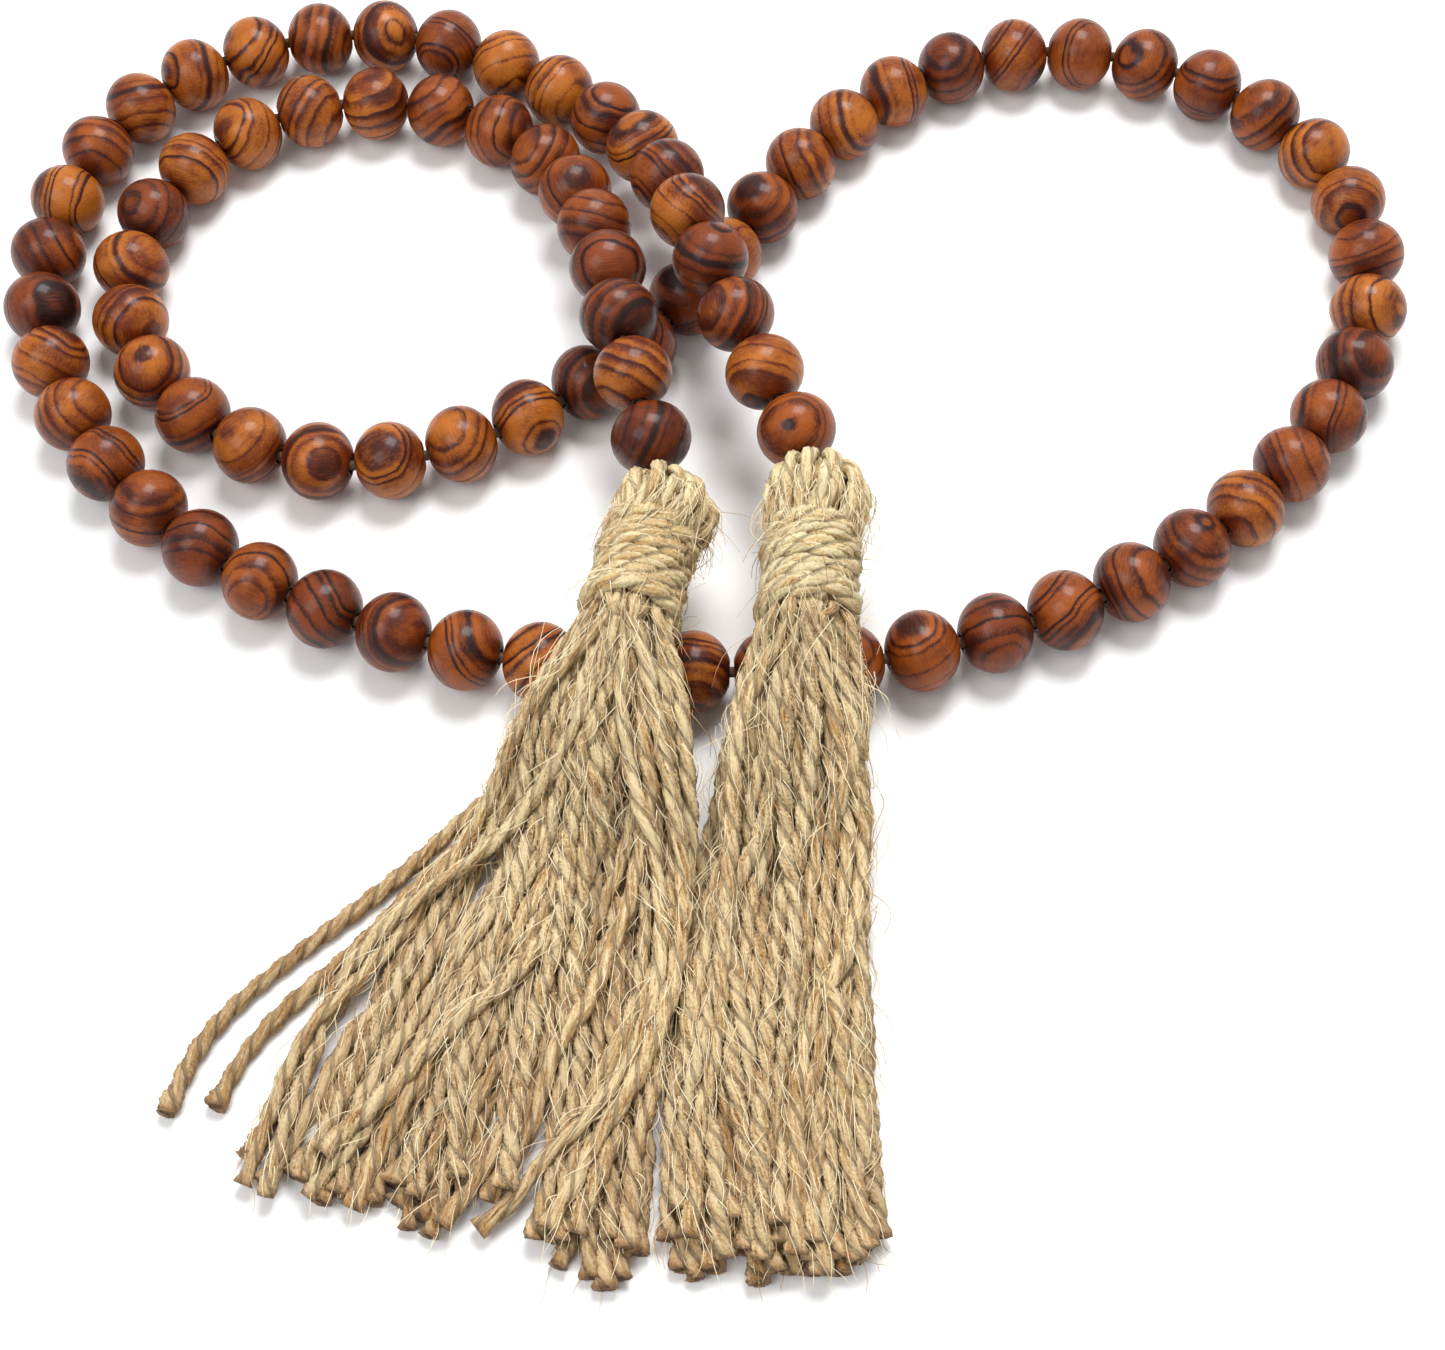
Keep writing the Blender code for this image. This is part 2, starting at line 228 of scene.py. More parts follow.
# Beads: 84 balls turned from a strongly banded softwood, drilled, stained red-brown and dipped
# in clear lacquer. Each has its own cut through the growth rings, and a few have flat spots.
bead_length = 0.0134
bore_radius = 0.0015
rim_rounding = 0.0008
crowded_beads, crowded_length = (6, 7), 0.98
stain_from_mm, stain_over_mm = 4.6, 1.6
shape = bmesh.new()
reach = math.acos(bore_radius / bead_radius)
height = bead_length / 2 / math.sin(reach)
outline = []
for angle in np.linspace(reach, -reach, 17):
    spot = (bead_radius * math.cos(angle), 0, height * math.sin(angle))
    outline.append(shape.verts.new(spot))
edges = [shape.edges.new(pair) for pair in zip(outline, outline[1:] + outline[:1])]
bmesh.ops.spin(shape, geom=outline + edges, cent=(0, 0, 0), axis=(0, 0, 1), angle=2 * math.pi,
               steps=36, use_merge=True)
bmesh.ops.remove_doubles(shape, verts=shape.verts, dist=0.000001)
bmesh.ops.recalc_face_normals(shape, faces=shape.faces)
rims = [edge for edge in shape.edges
        if all(abs(abs(vert.co.z) - bead_length / 2) < 0.00001 for vert in edge.verts)]
bmesh.ops.bevel(shape, geom=rims, offset=rim_rounding, segments=3, profile=0.5, affect="EDGES",
                material=-1)


def wood(name, light, mid, dark):
    """Banded wood under lacquer. Its grain attribute holds millimetres from the tree's middle."""
    material, shader, start = surface(name, {"Coat Weight": 0.4, "Coat Roughness": 0.2,
                                             "Coat IOR": 1.4, "Specular IOR Level": 0.18})
    grain = start.node("ShaderNodeAttribute", {"attribute_name": "grain"}, {}, output=1)
    tone = start.node("ShaderNodeAttribute", {"attribute_name": "tone"}, {}, output=2)
    near_hole = start.node("ShaderNodeAttribute", {"attribute_name": "near_hole"}, {}, output=2)
    flat = start.node("ShaderNodeVectorMath", {"operation": "MULTIPLY"}, {0: grain, 1: (1, 1, 0)})
    radius = start.node("ShaderNodeVectorMath", {"operation": "LENGTH"}, {0: flat}, output=1)
    sway = start.node("ShaderNodeTexNoise", {}, {"Vector": grain, "Scale": 0.09, "Detail": 2})
    ring = radius * 0.4 + sway * 1.5
    uneven = start.node("ShaderNodeTexNoise", {"noise_dimensions": "1D"},
                        {"W": ring * 0.9, "Scale": 1, "Detail": 0})
    ring = ring + uneven * 1.2
    band = ring.math("FRACT", ring)
    late = start.node("ShaderNodeValToRGB", {"stops": [
        (0, (0.4,) * 3), (0.16, (0.06,) * 3), (0.34, (0.12,) * 3), (0.56, (0.45,) * 3),
        (0.76, (0.95,) * 3), (0.88, (1,) * 3), (1, (0.4,) * 3)]}, {"Fac": band})
    which = start.node("ShaderNodeTexWhiteNoise", {"noise_dimensions": "1D"},
                       {"W": ring.math("FLOOR", ring)})
    late = late * (0.4 + 0.6 * which)
    stretched = start.node("ShaderNodeVectorMath", {"operation": "MULTIPLY"},
                           {0: grain, 1: (1, 1, 0.06)})
    streak = start.node("ShaderNodeTexNoise", {}, {"Vector": stretched, "Scale": 2.6, "Detail": 5,
                                                   "Roughness": 0.7})
    cloud = start.node("ShaderNodeTexNoise", {}, {"Vector": grain, "Scale": 0.16, "Detail": 3})
    deep = tone * 0.55 + (cloud - 0.5) * 2.2 + (streak - 0.5) * 1.4 + near_hole * 0.35
    deep = deep + late * 0.9
    ground = deep.clamp(-0.25, 0.95).mix((*light, 1), (*mid, 1))
    colour = (late * 1.1 + (streak - 0.5) * 1.1 + (cloud - 0.5) * 0.8).clamp(0.2, 1.0)
    colour = colour.mix(ground, (*dark, 1))
    feed(shader, "Base Color", colour)
    feed(shader, "Roughness", 0.26 + 0.3 * streak + 0.08 * late)
    feed(shader, "Normal", start.node("ShaderNodeBump", {}, {
        "Height": streak - 0.3 * late, "Strength": 0.6, "Distance": 0.0003}))
    return material


woods = [
    wood("amber_bead", (0.44, 0.13, 0.012), (0.15, 0.022, 0.002), (0.03, 0.004, 0.002)),
    wood("chestnut_bead", (0.31, 0.071, 0.006), (0.105, 0.015, 0.002), (0.022, 0.0035, 0.002)),
    wood("umber_bead", (0.21, 0.039, 0.004), (0.064, 0.0095, 0.002), (0.015, 0.003, 0.002)),
]
rows = [(9, 19), (31, 41), (48, 58), (62, 72)]
chance = random.Random(7)
for number in range(1, bead_count + 1):
    bead = shape.copy()
    for _ in range(chance.choice((0, 1, 1, 2))):
        facing = Vector([chance.gauss(0, 1) for _ in range(3)]).normalized()
        level = bead_radius * chance.uniform(0.955, 0.985)
        for vert in bead.verts:
            over = vert.co.dot(facing) - level
            if over > 0 and abs(vert.co.z) < 0.8 * bead_length / 2:
                vert.co -= facing * over * 0.8
    short = crowded_length if number in crowded_beads else 1
    bmesh.ops.scale(bead, vec=(chance.uniform(0.975, 1), chance.uniform(0.975, 1), short),
                    verts=bead.verts)
    local = np.array([vert.co for vert in bead.verts]) * 1000
    turn = Quaternion([chance.gauss(0, 1) for _ in range(4)]).normalized().to_matrix()
    heart = np.array((chance.uniform(14, 70), chance.uniform(-9, 9), chance.uniform(0, 900)))
    grain = local @ np.array(turn).T + heart
    hole = np.clip((np.abs(local[:, 2]) - stain_from_mm) / stain_over_mm, 0, 1)
    start, end = joints[number - 1], joints[number]
    z = (end - start).normalized()
    x = Vector((0, 0, -1)) + z * z.z
    x.normalize()
    place = Matrix.Translation((start + end) / 2) @ Matrix((x, z.cross(x), z)).transposed().to_4x4()
    bead.transform(place)
    mesh = bpy.data.meshes.new(f"wooden_bead_{number:02d}")
    bead.to_mesh(mesh)
    bead.free()
    mesh.shade_smooth()
    mesh.attributes.new("grain", "FLOAT_VECTOR", "POINT").data.foreach_set("vector", grain.ravel())
    mesh.attributes.new("near_hole", "FLOAT", "POINT").data.foreach_set("value", hole)
    depth = np.full(len(local), chance.uniform(0.05, 0.75))
    mesh.attributes.new("tone", "FLOAT", "POINT").data.foreach_set("value", depth)
    tone = chance.choice((0, 0, 1, 1, 2))
    piece = show(mesh.name, mesh, woods[tone])
    row = [pair for pair in rows if pair[0] <= number <= pair[1]]
    node = f"bead_row_{row[0][0]:02d}_{row[0][1]:02d}" if row else f"bead_{number:02d}"
    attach(piece, "strand" if row else "turning_" + node)
    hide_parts(node)
shape.free()


# Tassels: about forty lengths of two-ply jute twine in each, folded over a hidden loop of cord and
# bound at the waist. The twine is soft and hairy, twisted to the left, and squeezed in the binding.
# Each section is its middle's x and y, half its width, and its lowest and highest z. The first
# two are the ends of the waist.
sections = {
    "left": [
        (-0.0107, -0.0082, 0.0062, 0.0146, 0.027), (-0.0147, -0.028, 0.0062, 0.0185, 0.0309),
        (-0.0152, -0.0305, 0.0095, 0.016, 0.0315), (-0.019, -0.0445, 0.0155, 0.0155, 0.0255),
        (-0.022, -0.06, 0.0192, 0, 0.014), (-0.0295, -0.079, 0.024, 0, 0.0105),
        (-0.0405, -0.101, 0.03, 0, 0.009), (-0.0475, -0.126, 0.0345, 0, 0.008),
    ],
    "right": [
        (0.018, -0.009, 0.0062, 0.015, 0.0274), (0.0163, -0.029, 0.0062, 0.0187, 0.0311),
        (0.016, -0.0315, 0.0097, 0.016, 0.0315), (0.014, -0.045, 0.0122, 0.0155, 0.0255),
        (0.013, -0.062, 0.0132, 0, 0.015), (0.0108, -0.08, 0.0142, 0, 0.0115),
        (0.008, -0.101, 0.0162, 0, 0.01), (0.0066, -0.133, 0.0166, 0, 0.009),
    ],
}
strays = [
    [(-0.0195, -0.036, 0.0215), (-0.029, -0.043, 0.0125), (-0.038, -0.0485, 0.005),
     (-0.046, -0.0545, 0.0022), (-0.054, -0.064, 0.002), (-0.070, -0.077, 0.002),
     (-0.083, -0.088, 0.002), (-0.089, -0.096, 0.002), (-0.092, -0.107, 0.002)],
    [(-0.0200, -0.038, 0.0185), (-0.030, -0.048, 0.0095), (-0.042, -0.0585, 0.0035),
     (-0.0535, -0.070, 0.0022), (-0.060, -0.076, 0.002), (-0.066, -0.082, 0.002),
     (-0.074, -0.089, 0.002), (-0.081, -0.097, 0.002), (-0.084, -0.106, 0.002)],
]
ply_radius = 0.00116
ply_offset = 0.00045


def twisted_pair(rings, turns):
    """A straight length of twine along Z, 1 long: two plies wound round each other."""
    shape = bmesh.new()
    for side in (1, -1):
        made = bmesh.ops.create_circle(shape, segments=6, radius=ply_radius)["verts"]
        bmesh.ops.translate(shape, vec=(side * ply_offset, 0, 0), verts=made)
        loop = list({edge for vert in made for edge in vert.link_edges})
        bmesh.ops.spin(shape, geom=loop, cent=(0, 0, 0), axis=(0, 0, 1), dvec=(0, 0, 1 / rings),
                       angle=-2 * math.pi * turns, steps=rings)
    bmesh.ops.holes_fill(shape, edges=[edge for edge in shape.edges if edge.is_boundary], sides=0)
    bmesh.ops.recalc_face_normals(shape, faces=shape.faces)
    mesh = bpy.data.meshes.new("twisted_pair")
    mesh["turns"] = float(turns)
    shape.to_mesh(mesh)
    shape.free()
    return mesh


def ply_places(mesh):
    """Per point of a length: its place in its own ply, and how deep it lies between the two, which
    sets painted shade in the groove.
    """
    spots = np.array([vert.co for vert in mesh.vertices])
    angle = -2 * math.pi * mesh["turns"] * spots[:, 2]
    middle = ply_offset * np.stack([np.cos(angle), np.sin(angle)], axis=1)
    side = np.sign((spots[:, :2] * middle).sum(1))[:, None]
    inside = (spots[:, :2] - middle * side) * 1000
    depth = 1 - np.linalg.norm(spots[:, :2], axis=1) / (ply_offset + ply_radius)
    return spots, inside + 3 * side, depth


def bend(spots, path, swell):
    """Where a straight length's points go when it is laid along the path, with that thickness."""
    runs = np.gradient(path, axis=0)
    runs /= np.linalg.norm(runs, axis=1)[:, None]
    side = np.cross(runs[0], (0, 0.1, 1))
    sides = []
    for run in runs:
        side = side - run * (side @ run)
        side = side / np.linalg.norm(side)
        sides.append(side)
    sides = np.array(sides)
    ups = np.cross(runs, sides)
    place = spots[:, 2] * (len(path) - 1)
    low = np.minimum(place.astype(int), len(path) - 2)
    part = (place - low)[:, None]
    thick = np.interp(place, np.arange(len(path)), swell)[:, None]

    def blend(rows):
        return rows[low] * (1 - part) + rows[low + 1] * part

    across = blend(sides) * spots[:, :1] + blend(ups) * spots[:, 1:2]
    return blend(path) + across * thick


def lay(name, lengths, paths, swells, material):
    """One piece from many paths, with a straight length of twine laid along each in turn."""
    known = [ply_places(length) for length in lengths]
    shape = bmesh.new()
    for index in range(len(paths)):
        shape.from_mesh(lengths[index % len(lengths)])
    mesh = bpy.data.meshes.new(name)
    shape.to_mesh(mesh)
    shape.free()
    chance = np.random.default_rng(len(name) + len(paths))
    places, fibres, tones, cuts, depths = [], [], [], [], []
    for index, (path, swell) in enumerate(zip(paths, swells)):
        spots, inside, depth = known[index % len(known)]
        depths.append(depth)
        places.append(bend(spots, np.array(path), swell))
        run = np.linalg.norm(np.diff(path, axis=0), axis=1).sum() * 1000
        shift = chance.uniform(0, 500, 3)
        fibres.append(np.column_stack([inside, spots[:, 2] * run * 0.11]) + shift)
        tones.append(np.full(len(spots), chance.uniform(0, 1)))
        # Browner towards each length's far end and at its cut end, plus painted shade on points
        # lower than 7.5 mm, low in the pile.
        far_brown_and_pile_shade = 0.25 * np.clip((spots[:, 2] - 0.35) / 0.6, 0, 1)
        far_brown_and_pile_shade += 0.5 * np.clip((0.0075 - places[-1][:, 2]) / 0.006, 0, 1)
        cuts.append(0.8 * far_brown_and_pile_shade + 0.5 * np.clip((spots[:, 2] - 0.985) / 0.015, 0, 1))
    mesh.vertices.foreach_set("co", np.concatenate(places).ravel())
    for title, kind, value, key in (
        ("fibre", "FLOAT_VECTOR", np.concatenate(fibres), "vector"),
        ("tone", "FLOAT", np.concatenate(tones), "value"),
        ("cut", "FLOAT", np.concatenate(cuts), "value"),
        ("depth", "FLOAT", np.concatenate(depths), "value"),
    ):
        mesh.attributes.new(title, kind, "POINT").data.foreach_set(key, value.ravel())
    mesh.shade_smooth()
    mesh.update()
    return show(name, mesh, material)


def jute(name, dark_fibre_and_shade, body, straw):
    """Raw jute: fine lengthwise fibres, brown to straw; painted shade between plies and low down;
    browner towards cut ends.
    """
    material, shader, start = surface(name, {"Roughness": 0.72, "Specular IOR Level": 0.3,
                                             "Sheen Weight": 0.15, "Sheen Roughness": 0.4})
    fibre = start.node("ShaderNodeAttribute", {"attribute_name": "fibre"}, {}, output=1)
    tone = start.node("ShaderNodeAttribute", {"attribute_name": "tone"}, {}, output=2)
    cut = start.node("ShaderNodeAttribute", {"attribute_name": "cut"}, {}, output=2)
    depth = start.node("ShaderNodeAttribute", {"attribute_name": "depth"}, {}, output=2)
    fine = start.node("ShaderNodeTexNoise", {}, {"Vector": fibre, "Scale": 1.7, "Detail": 4,
                                                 "Roughness": 0.7})
    broad = start.node("ShaderNodeTexNoise", {}, {"Vector": fibre, "Scale": 0.6, "Detail": 2})
    light = (fine - 0.5) * 4.6 + (broad - 0.5) * 2.2 + tone * 0.4 + 0.4
    colour = light.clamp(0, 1).mix((*body, 1), (*straw, 1))
    # Painted shade in the groove between the two plies, from depth, together with dark fibres from
    # the noise.
    dark = (depth.clamp(0.3, 1) * 0.35 + (0.45 - fine) * 7 + (0.43 - broad) * 2.5).clamp(0, 1)
    colour = dark.mix(colour, (*dark_fibre_and_shade, 1))
    # The cut-end brown, which also carries the painted shade low in the pile.
    colour = (cut * 0.85).mix(colour, (0.36, 0.17, 0.06, 1))
    feed(shader, "Base Color", colour)
    feed(shader, "Normal", start.node("ShaderNodeBump", {}, {
        "Height": fine, "Strength": 1, "Distance": 0.0009}))
    return material


def section_paths(side, count, seed):
    """Guides for the strands from the binding down: each keeps its share of every section."""
    chance = random.Random(seed)
    stations = sections[side][1:]
    bound_reach, bound_depth = 0.0066, 0.0064
    guides = []
    x, y, half, low, high = stations[0]
    ahead = Vector((stations[1][0] - x, stations[1][1] - y, 0)).normalized() * 0.0012
    stations = [(x - 2 * ahead.x, y - 2 * ahead.y, half, low, high),
                (x + ahead.x, y + ahead.y, 0.0092, low, high), *stations[1:]]
    for index in range(count):
        across = -1 + 2 * ((index * 0.618034 + 0.31) % 1)
        height = (index + 0.5) / count
        drift, swing = chance.uniform(0.1, 0.5), chance.uniform(0, 6.3)
        sink, pace = chance.uniform(-0.5, 0.5), chance.uniform(0.6, 1.4)
        knots = []
        for step, (x, y, half, low, high) in enumerate(stations):
            last = stations[min(step + 1, len(stations) - 1)]
            first = stations[max(step - 1, 0)]
            run = Vector((last[0] - first[0], last[1] - first[1], 0)).normalized()
            level = min(max(height + sink * step / 6, 0.03), 0.97)
            centre, deep = (low + high) / 2, (high - low) / 2 - 0.0018
            width = across + drift * math.sin(swing + step * pace) * min(step, 3) / 3
            width = max(-1, min(1, width))
            if step < 3:
                reach = bound_reach if step == 0 else half - 0.0012
                deep = bound_depth if step < 2 else deep
                width *= math.sqrt(max(0.05, 1 - (2 * level - 1) ** 2))
            else:
                reach = half - 0.0016
            z = centre + deep * (2 * level - 1)
            knots.append((x - run.y * width * reach, y + run.x * width * reach, z))
        end = Vector(knots[-1]) + (Vector(knots[-1]) - Vector(knots[-2])).normalized() * (
            chance.uniform(-0.007, 0.003))
        knots[-1] = tuple(end)
        guides.append(knots)
    return guides


def spaced(points, count):
    """The same line as the given points, with that many points at even distances."""
    line = smooth(points, 12)
    gone = np.concatenate([[0], np.cumsum(np.linalg.norm(np.diff(line, axis=0), axis=1))])
    marks = np.linspace(0, gone[-1], count)
    return np.stack([np.interp(marks, gone, line[:, axis]) for axis in range(3)], axis=1)


def settle(strands, thick, beads, rounds):
    """Lets strands push each other apart where they overlap, and down onto beads and table."""
    count, length, _ = strands.shape
    held, sag, push_share, smoothing, pull_back = 3, 0.00012, 0.42, 0.3, 0.03
    guide = strands.copy()
    owner = np.repeat(np.arange(count), length)
    free = np.tile(np.arange(length) >= held, count)
    size = np.tile(thick, count)
    for _ in range(rounds):
        strands[:, held:, 2] -= sag
        flat = strands.reshape(-1, 3)
        square = (flat**2).sum(1)
        apart = square[:, None] + square[None, :] - 2 * flat @ flat.T
        wanted = 0.5 * (size[:, None] + size[None, :])
        near = np.argwhere((apart < wanted**2) & (owner[:, None] < owner[None, :]))
        a, b = near[:, 0], near[:, 1]
        gap = flat[b] - flat[a]
        far = np.linalg.norm(gap, axis=1) + 1e-9
        push = gap * (push_share * (wanted[a, b] - far) / far / 2)[:, None]
        move = np.zeros_like(flat)
        np.add.at(move, a, -push)
        np.add.at(move, b, push)
        flat += move * free[:, None]
        gap = flat[:, None, :] - beads[None]
        far = np.linalg.norm(gap, axis=2)
        over = np.maximum(bead_radius + size[:, None] / 2 - far, 0) * free[:, None]
        flat += (gap / far[:, :, None] * over[:, :, None]).sum(1)
        strands = flat.reshape(count, length, 3)
        level = 0.5 * (strands[:, :-2] + strands[:, 2:])
        strands[:, 1:-1] += smoothing * (level - strands[:, 1:-1])
        strands += pull_back * (guide - strands)
        strands[:, :, 2] = np.maximum(strands[:, :, 2], 0.5 * thick[None, :])
        strands[:, :held] = guide[:, :held]
    return strands


strand_rings = 130
strand_thickness = 0.0031
beads_below = range(50, 61)
settling_rounds = 70
straights = [twisted_pair(strand_rings, turns) for turns in (9.4, 12.2, 10.6, 8.1, 11.4)]
twine = jute("jute_twine", (0.14, 0.052, 0.013), (0.55, 0.325, 0.12), (0.96, 0.77, 0.44))
# A brighter copy of the twine for the heads and bindings: painted light on their well-lit, upward
# faces.
twine_painted_brighter = jute("jute_twine_painted_brighter", (0.34, 0.165, 0.052), (0.77, 0.53, 0.23), (0.98, 0.85, 0.52))
left_count, right_count = 44, 42
guides = section_paths("left", left_count, 3) + section_paths("right", right_count, 5)
waist = sections["left"][1]
for stray, stray_start in zip(strays, (0.0245, 0.0225)):
    guides.append([(waist[0] - 0.004, waist[1], stray_start), *stray])
segments = 42
strands = np.array([spaced(points, segments) for points in guides])
along = np.linspace(0, 1, segments)
thick = strand_thickness * np.interp(along, [0, 0.05, 0.12, 0.3], [0.62, 0.7, 0.82, 1])
near_beads = np.array([(joints[number - 1] + joints[number]) / 2 for number in beads_below])
strands = settle(strands, thick, near_beads, settling_rounds)
fine_along = np.linspace(0, 1, strand_rings)
chance = random.Random(11)
paths = [spaced(strand, strand_rings) for strand in strands]
swells = []
for path in paths:
    size = chance.uniform(0.88, 1.14)
    wave = np.sin(fine_along * chance.uniform(8, 30) + chance.uniform(0, 6.3))
    base = np.interp(fine_along, [0, 0.05, 0.12, 0.3, 0.95, 1], [0.72, 0.8, 0.88, 1, 1, 1.32])
    swells.append(base * size * (1 + 0.07 * wave))
    path[:, 2] = np.maximum(path[:, 2], (ply_radius + ply_offset) * swells[-1])
split = left_count + right_count
for side, first, last in (("left", 0, left_count), ("right", left_count, split)):
    piece = lay(side + "_fringe", straights, paths[first:last], swells[first:last], twine)
    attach(piece, side + "_tassel")
    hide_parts(side + "_tassel_strands")
for number, path in enumerate(paths[split:], 1):
    swell = swells[split + number - 1]
    piece = lay(f"stray_strand_{number}", straights[number:], [path], [swell], twine)
    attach(piece, "left_tassel")
    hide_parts(f"left_stray_strand_{number}")


# Tassel heads: the twine's folds, a ring of tight arches that stand up from the binding, bulge
# and close over the knot just under the last bead.
crowns = {
    "left": ((-0.25, 0.0060), (0, 0.0070), (0.18, 0.0077), (0.42, 0.0081), (0.66, 0.0075),
             (0.84, 0.0058), (0.93, 0.0034), (0.92, 0.0008)),
    "right": ((-0.25, 0.0060), (0, 0.0071), (0.18, 0.0077), (0.42, 0.0080), (0.66, 0.0080),
              (0.82, 0.0071), (0.93, 0.0044), (0.94, 0.0008)),
}
fold_rows = ((17, 0), (11, 0.0026))
fold_points = 60
bound = {}
lean_by = {"left": -0.0014, "right": -0.0003}


def waist_axes(side):
    """Where a tassel's waist starts, and the directions down it, sideways and upright."""
    start, finish = [Vector((x, y, (low + high) / 2)) for x, y, _, low, high in sections[side][:2]]
    down = (finish - start).normalized()
    sideways = down.cross((0, 0, 1)).normalized()
    return start, down, sideways, sideways.cross(down)


for side, knot_joint, next_joint in (("left", 0, 1), ("right", 84, 83)):
    waist_start, _, sideways, upright = waist_axes(side)
    knot = joints[knot_joint] + (joints[knot_joint] - joints[next_joint]).normalized() * 0.0022
    rise = (knot - waist_start).length
    tilt = (knot - waist_start).normalized()
    chance = random.Random(side)
    arches = []
    for layer, (count, inset) in enumerate(fold_rows):
        for index in range(count):
            angle = 2 * math.pi * (index + 0.5 * layer) / count + chance.uniform(-0.1, 0.1)
            curl = chance.uniform(-0.1, 0.5)
            plump = chance.uniform(0.94, 1.06)
            line = []
            for share, radius in crowns[side]:
                turned = angle + curl * (share + 0.25)
                ray = sideways * math.cos(turned) + upright * math.sin(turned)
                radius = max(radius - inset, 0.0004) * plump * chance.uniform(0.97, 1.03)
                lean = sideways * lean_by[side] * math.sin(math.pi * max(0, min(share * 1.15, 1)))
                line.append(tuple(waist_start + tilt * rise * share + ray * radius + lean))
            arches.append(spaced(line, fold_points))
    fold_along = np.linspace(0, 1, fold_points)
    bulge = np.interp(fold_along, [0, 0.2, 0.45, 0.75, 1], [0.7, 0.85, 1.0, 0.95, 0.6])
    bound[side] = list(arches)
    folds = [twisted_pair(30, 1.9), twisted_pair(30, 1.4)]
    # Painted light: the head uses the brighter copy of the twine.
    piece = lay(side + "_head", folds, arches, [bulge] * len(arches), twine_painted_brighter)
    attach(piece, side + "_tassel")
    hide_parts(side + "_tassel_strands")


# Bindings: one thinner twine wound tightly round each waist, a little unevenly, with its last
# turns crossing over the others.
ring_spacing = 0.0008
turn_spacing = 0.009
for side in ("left", "right"):
    start, down, sideways, upright = waist_axes(side)
    chance = random.Random(side + "binding")
    wraps = []
    for turns, first, last, radius, wobble in ((8.3, 0.0004, 0.0196, 0.0075, 0.0003),
                                               (2.2, 0.0160, 0.0192, 0.0080, 0.0004),
                                               (1.1, 0.0030, 0.0065, 0.0080, 0.0003)):
        line = []
        phase = chance.uniform(0, 6.28)
        for step in range(int(turns * 12) + 1):
            angle = 2 * math.pi * step / 12 + phase
            share = step / (turns * 12)
            along_waist = first + (last - first) * share + wobble * math.sin(angle * 0.63 + phase)
            ray = sideways * math.cos(angle) + upright * math.sin(angle)
            wide = radius + chance.uniform(-0.00012, 0.00012)
            line.append(tuple(start + down * along_waist + ray * wide))
        wraps.append(spaced(line, int(turns * 40)))
    bound[side] += wraps
    for number, wrap in enumerate(wraps):
        length = np.linalg.norm(np.diff(wrap, axis=0), axis=1).sum()
        fat = 0.95 + 0.12 * np.sin(np.arange(len(wrap)) * 0.11 + number)
        straight = twisted_pair(int(length / ring_spacing), length / turn_spacing)
        # Painted light: the binding uses the brighter copy of the twine.
        piece = lay(f"{side}_binding_{number + 1}", [straight], [wrap], [fat], twine_painted_brighter)
        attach(piece, side + "_tassel")
        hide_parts(side + "_binding")


# Loose fibres: jute is never smooth. Short hairs stand off every strand, and a few long ones curl
# over the tassels.
def hair_length():
    """A straight hair along Z, 1 long, tapered to a fine tip."""
    shape = bmesh.new()
    bmesh.ops.create_cone(shape, cap_ends=True, segments=3, radius1=0.00009, radius2=0.000045,
                          depth=1)
    bmesh.ops.translate(shape, vec=(0, 0, 0.5), verts=shape.verts)
    sides = [edge for edge in shape.edges if abs(edge.verts[0].co.z - edge.verts[1].co.z) > 0.5]
    bmesh.ops.subdivide_edges(shape, edges=sides, cuts=5)
    mesh = bpy.data.meshes.new("hair")
    mesh["turns"] = 0.0
    shape.to_mesh(mesh)
    shape.free()
    return mesh


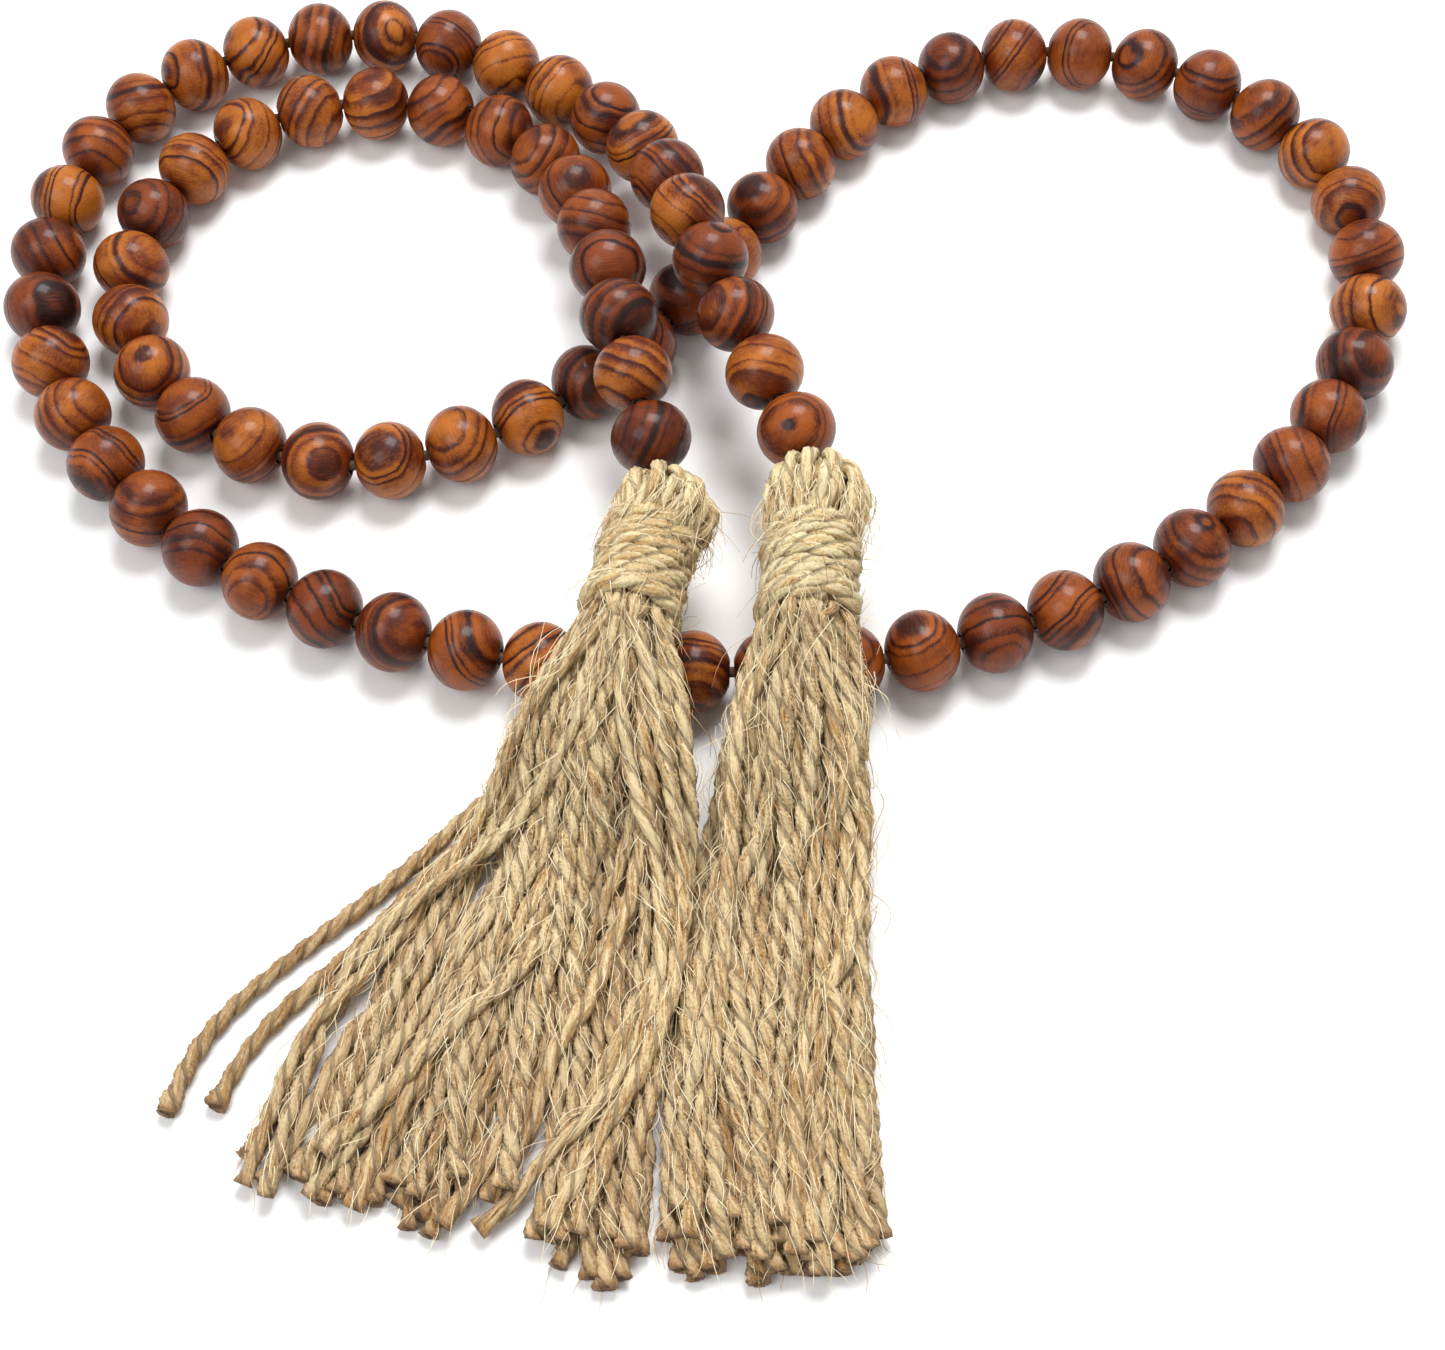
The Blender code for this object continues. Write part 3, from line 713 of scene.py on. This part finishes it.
hair_finish, shader, start = surface("loose_fibre", {"Roughness": 0.6,
                                                     "Specular IOR Level": 0.3})
pale = start.node("ShaderNodeAttribute", {"attribute_name": "tone"}, {}, output=2)
feed(shader, "Base Color", pale.clamp(0, 0.8).mix((0.42, 0.22, 0.08, 1), (0.98, 0.86, 0.58, 1)))
hair = hair_length()
hairs_per_side = 5200
share_on_top = 0.2
lowest, highest, nearest = 0.0003, 0.038, -0.1405
for side, first, last in (("left", 0, left_count), ("right", left_count, split)):
    chance = random.Random(side + "hair")
    hairs = []
    for _ in range(hairs_per_side):
        kind = chance.random()
        on_top = chance.random() < share_on_top
        path = chance.choice(bound[side] if on_top else paths[first:last])
        spot = chance.randrange(2, int(len(path) * 0.6) if on_top else len(path) - 3)
        run = Vector(path[spot + 1] - path[spot]).normalized()
        away = Vector([chance.gauss(0, 1), chance.gauss(0, 1), chance.gauss(0.7, 1)])
        away = (away - run * away.dot(run)).normalized()
        across = run.cross(away)
        here = Vector(path[spot]) + away * 0.0013
        long, off, free = chance.uniform(0.003, 0.009), chance.uniform(0.0002, 0.0011), 0
        if kind > 0.7:
            free = chance.uniform(0.0004, 0.0022)
        if kind > 0.95 and not on_top:
            long, off, free = long * 1.8, off * 3, free * 1.5
        twist, curl = chance.uniform(-0.5, 0.1) * long, chance.gauss(0, 0.16) * long
        way = -1 if on_top else chance.choice((-1, 1))
        line = []
        for step in range(7):
            share = step / 6
            point = here + run * way * long * share + across * (way * twist * share)
            point += away * (off * math.sin(math.pi * share) + free * share**1.6)
            point += across * curl * math.sin(3 * share + kind * 9)
            point.z = min(max(point.z, lowest), highest)
            point.y = max(point.y, nearest)
            line.append(tuple(point))
        hairs.append(np.array(line))
    piece = lay(side + "_loose_fibres", [hair], hairs, [np.ones(7)] * len(hairs), hair_finish)
    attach(piece, side + "_tassel")


# Floor and light: a seamless white table under two large soft boxes and an even white surround.
floor_mesh = bpy.data.meshes.new("table_top")
shape = bmesh.new()
bmesh.ops.create_grid(shape, x_segments=1, y_segments=1, size=3)
shape.to_mesh(floor_mesh)
shape.free()
white, _, _ = surface("white_table", {"Roughness": 0.55, "Base Color": (0.93, 0.93, 0.93, 1)})
floor = show("table_top", floor_mesh, white)
world = bpy.data.worlds.new("white_surround")
bpy.context.scene.world = world
world.use_nodes = True
background = world.node_tree.nodes["Background"]
background.inputs["Color"].default_value = (1, 1, 1, 1)
background.inputs["Strength"].default_value = 0.5
for name, place, size, power in (
    ("back_box", (0.12, 0.45, 0.95), 0.5, 11),
    ("front_box", (-0.55, -0.35, 0.85), 0.6, 4.5),
):
    box = bpy.data.lights.new(name, "AREA")
    box.shape = "SQUARE"
    box.size = size
    box.energy = power
    light = bpy.data.objects.new(name, box)
    bpy.context.scene.collection.objects.link(light)
    light.location = place
    light.rotation_euler = (-Vector(place)).to_track_quat("-Z", "Y").to_euler()
bpy.context.scene.view_settings.view_transform = "Standard"
